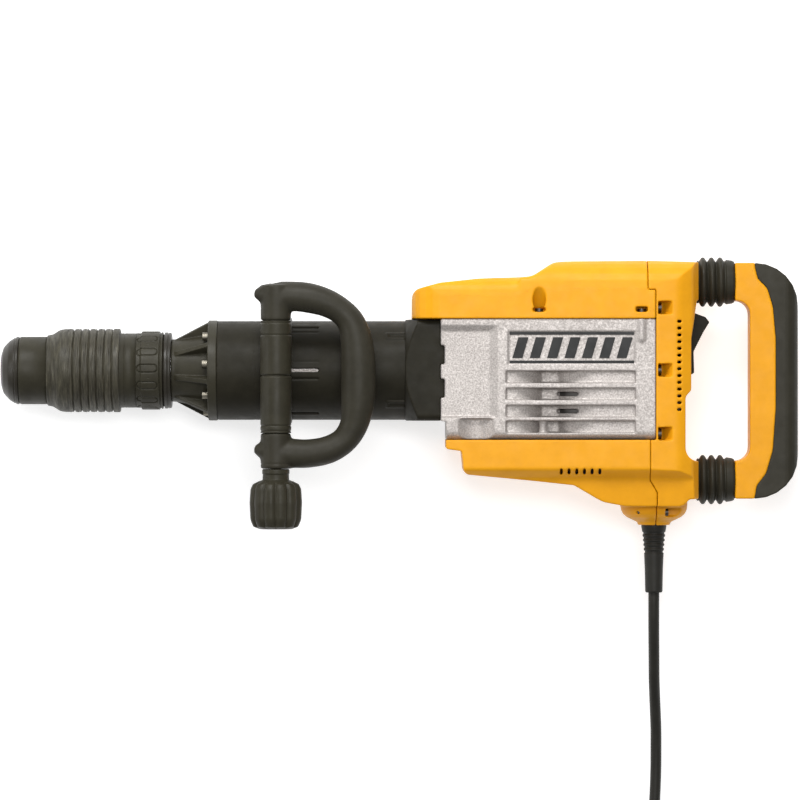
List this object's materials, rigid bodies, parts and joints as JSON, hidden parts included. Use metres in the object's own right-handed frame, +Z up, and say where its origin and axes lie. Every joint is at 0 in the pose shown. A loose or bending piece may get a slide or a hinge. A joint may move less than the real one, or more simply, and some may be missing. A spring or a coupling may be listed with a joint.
{
  "type": "demolition hammer",
  "caption": "Heavy electric demolition hammer with a swinging loop handle, a sprung D handle, a quick-lock chisel socket and a mains cord.",
  "frame": {"origin": "middle of the tool's footprint, on the surface it lies on, with the free cord left out", "axes": "+X from the chisel socket to the rear handle along the hammer axis, +Y across the case from the cord side to the top hood, +Z up from the flat side that the tool lies on"},
  "size_m": [0.76, 0.7011, 0.1509],
  "materials": {
    "yellow_plastic": "fine-textured moulded yellow-orange plastic",
    "cast_alloy": "grey cast alloy with a coarse sparkle",
    "black_plastic": "satin black moulded plastic",
    "front_casting": "black-coated light alloy casting",
    "nose_rubber": "hard black rubber, slightly glossy",
    "grip_rubber": "soft matt black rubber",
    "machined_steel": "ground steel",
    "gear_steel": "hardened steel with an oil film",
    "piston_alloy": "machined light alloy",
    "spring_steel": "oiled spring wire",
    "screw_steel": "zinc-plated steel",
    "band_steel": "black-coated steel strap",
    "motor_iron": "laminated iron",
    "copper": "turned copper bars",
    "inner_plastic": "glass-filled black plastic",
    "carbon": "pressed carbon",
    "cord_rubber": "matt black rubber cable sheath",
    "tie_fabric": "black hook-and-loop strap"
  },
  "bodies": {
    "housing": {"crankcase": "cast_alloy", "gear_cover": "cast_alloy", "barrel_housing": "cast_alloy", "barrel_sleeve": "black_plastic", "barrel_collar": "black_plastic", "front_housing": "front_casting", "front_screws": "screw_steel", "seal_ring": "nose_rubber", "cylinder_liner": "machined_steel", "bolt_guide": "machined_steel", "top_hood": "yellow_plastic", "bottom_hood": "yellow_plastic", "rear_housing": "yellow_plastic", "case_screws": "screw_steel", "motor_stator": "motor_iron", "shaft_bearings": "machined_steel", "brush_bracket": "inner_plastic", "carbon_brushes": "carbon", "handle_rods": "machined_steel", "handle_springs": "spring_steel", "handle_bellows": "grip_rubber", "switch_module": "inner_plastic", "cord_guard": "cord_rubber", "cord_lead": "cord_rubber", "cord_coil": "cord_rubber", "coil_tie": "tie_fabric", "cord_tail": "cord_rubber", "plug": "cord_rubber"},
    "armature": {"armature_shaft": "gear_steel", "armature_core": "motor_iron", "commutator": "copper", "cooling_fan": "inner_plastic"},
    "layshaft_group": {"layshaft": "gear_steel", "intermediate_gear": "gear_steel"},
    "crank": {"crankshaft": "gear_steel", "crank_gear": "gear_steel"},
    "piston_group": {"piston": "piston_alloy", "wrist_pin": "machined_steel"},
    "rod": {"connecting_rod": "machined_steel", "crank_pin": "machined_steel"},
    "ram": {"ram": "machined_steel"},
    "impact_bolt": {"impact_bolt": "machined_steel"},
    "tool_holder": {"holder_tube": "machined_steel", "nose_bush": "nose_rubber", "dust_cap": "nose_rubber", "chuck_body": "black_plastic", "index_collar": "black_plastic", "lock_spring": "spring_steel"},
    "lock_sleeve": {"lock_sleeve": "black_plastic", "lock_cam": "machined_steel"},
    "ball_top": {"lock_ball_top": "machined_steel"},
    "ball_bottom": {"lock_ball_bottom": "machined_steel"},
    "clamp": {"clamp_band": "band_steel", "clamp_saddles": "black_plastic"},
    "loop": {"loop_handle": "grip_rubber", "clamp_bolt": "screw_steel"},
    "knob": {"clamp_knob": "black_plastic"},
    "main_handle": {"handle_shells": "yellow_plastic", "handle_grip": "grip_rubber"},
    "rocker": {"rocker_switch": "black_plastic"}
  },
  "joints": [
    {"name": "armature_spin", "type": "hinge", "parent": "housing", "child": "armature", "pos_m": [0.1884, 0.0209, 0.06], "axis": [0, 1, 0], "continuous": true},
    {"name": "layshaft_spin", "type": "hinge", "parent": "housing", "child": "layshaft_group", "pos_m": [0.1544, 0.0209, 0.06], "axis": [0, 1, 0], "continuous": true},
    {"name": "crank_spin", "type": "hinge", "parent": "housing", "child": "crank", "pos_m": [0.1064, 0.0209, 0.06], "axis": [0, 1, 0], "continuous": true},
    {"name": "piston_slide", "type": "slide", "parent": "housing", "child": "piston_group", "axis": [1, 0, 0], "range_m": [0, 0.028]},
    {"name": "rod_swing", "type": "hinge", "parent": "piston_group", "child": "rod", "pos_m": [0.0204, 0.0209, 0.06], "axis": [0, 1, 0], "range_deg": [-11, 11]},
    {"name": "ram_slide", "type": "slide", "parent": "housing", "child": "ram", "axis": [1, 0, 0], "range_m": [-0.021, 0.017]},
    {"name": "bolt_slide", "type": "slide", "parent": "housing", "child": "impact_bolt", "axis": [1, 0, 0], "range_m": [-0.003, 0.0035]},
    {"name": "holder_index", "type": "hinge", "parent": "housing", "child": "tool_holder", "pos_m": [-0.2996, 0.0209, 0.06], "axis": [1, 0, 0], "continuous": true},
    {"name": "lock_slide", "type": "slide", "parent": "tool_holder", "child": "lock_sleeve", "axis": [1, 0, 0], "range_m": [0, 0.01], "stiffness_N_per_m": 2500, "springref_m": -0.006, "deforming": ["lock_spring"]},
    {"name": "ball_top_slide", "type": "slide", "parent": "tool_holder", "child": "ball_top", "axis": [0, 1, 0], "range_m": [0, 0.0027]},
    {"name": "ball_bottom_slide", "type": "slide", "parent": "tool_holder", "child": "ball_bottom", "axis": [0, -1, 0], "range_m": [0, 0.0027]},
    {"name": "clamp_turn", "type": "hinge", "parent": "housing", "child": "clamp", "pos_m": [-0.1166, 0.0209, 0.06], "axis": [1, 0, 0], "continuous": true},
    {"name": "loop_swing", "type": "hinge", "parent": "clamp", "child": "loop", "pos_m": [-0.1166, 0.0209, 0.126], "axis": [0, -1, 0], "range_deg": [0, 180]},
    {"name": "knob_turn", "type": "hinge", "parent": "loop", "child": "knob", "pos_m": [-0.1166, -0.1041, 0.126], "axis": [0, 1, 0], "continuous": true},
    {"name": "handle_travel", "type": "slide", "parent": "housing", "child": "main_handle", "axis": [1, 0, 0], "range_m": [-0.008, 0], "stiffness_N_per_m": 12000, "deforming": ["handle_springs", "handle_bellows"]},
    {"name": "rocker_press", "type": "hinge", "parent": "housing", "child": "rocker", "pos_m": [0.2689, 0.0449, 0.06], "axis": [0, 0, 1], "range_deg": [0, 10]}
  ],
  "couplings": [
    {"joint": "layshaft_spin", "follows": "armature_spin", "ratio": -0.21429},
    {"joint": "crank_spin", "follows": "armature_spin", "ratio": 0.06},
    {"joint": "ball_top_slide", "follows": "lock_slide", "ratio": 0.27},
    {"joint": "ball_bottom_slide", "follows": "lock_slide", "ratio": 0.27}
  ]
}
